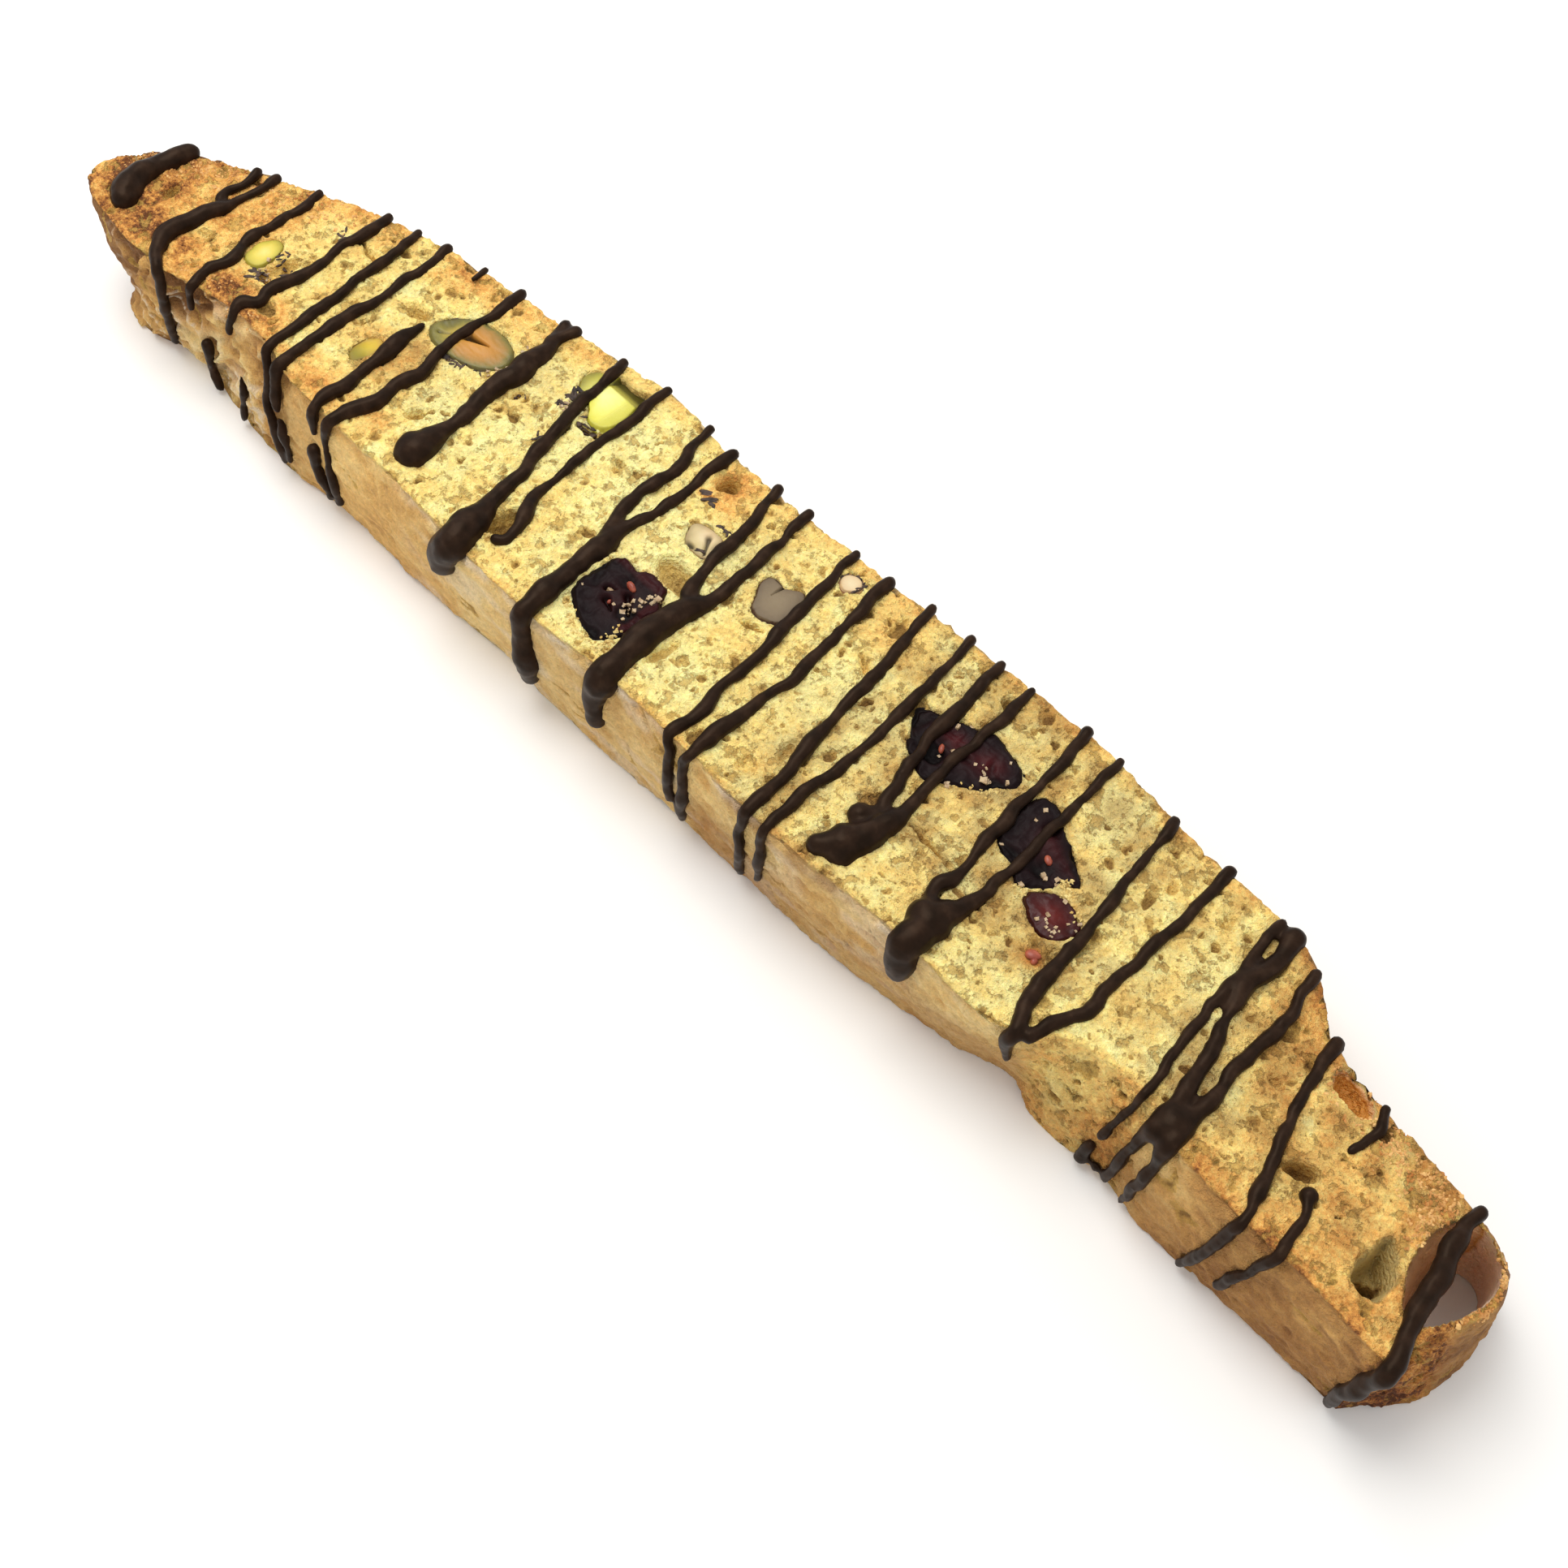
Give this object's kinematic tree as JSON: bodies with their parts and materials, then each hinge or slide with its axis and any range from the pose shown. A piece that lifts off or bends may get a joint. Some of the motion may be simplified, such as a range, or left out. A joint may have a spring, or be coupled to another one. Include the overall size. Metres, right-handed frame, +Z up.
{
  "type": "biscotto",
  "caption": "Long slanted slice of twice-baked biscuit with nuts and dried berries in its crumb and dark chocolate strands across it, for a plate, jar or food display.",
  "frame": {"origin": "the middle of the underside's bounding box, on the surface that the slice lies on", "axes": "+X runs along the slice from its toe to the hollow heel, +Y across it towards the domed back crust, +Z up out of the upper cut face"},
  "size_m": [0.1918, 0.0351, 0.0159],
  "materials": {
    "crumb": "dry toasted crumb and crust, matte",
    "chocolate": "set dark chocolate, satin",
    "pistachio": "cut nut, slightly oily",
    "cranberry": "dried fruit, sticky and wrinkled",
    "pecan": "cut nut, matte"
  },
  "bodies": {
    "root": {"biscuit": "crumb", "pistachio_1": "pistachio", "pistachio_2": "pistachio", "pistachio_3": "pistachio", "pistachio_4": "pistachio", "cranberry_1": "cranberry", "cranberry_2": "cranberry", "cranberry_3": "cranberry", "cranberry_4": "cranberry", "pecan_1": "pecan", "pecan_2": "pecan", "pecan_3": "pecan"}
  },
  "joints": []
}
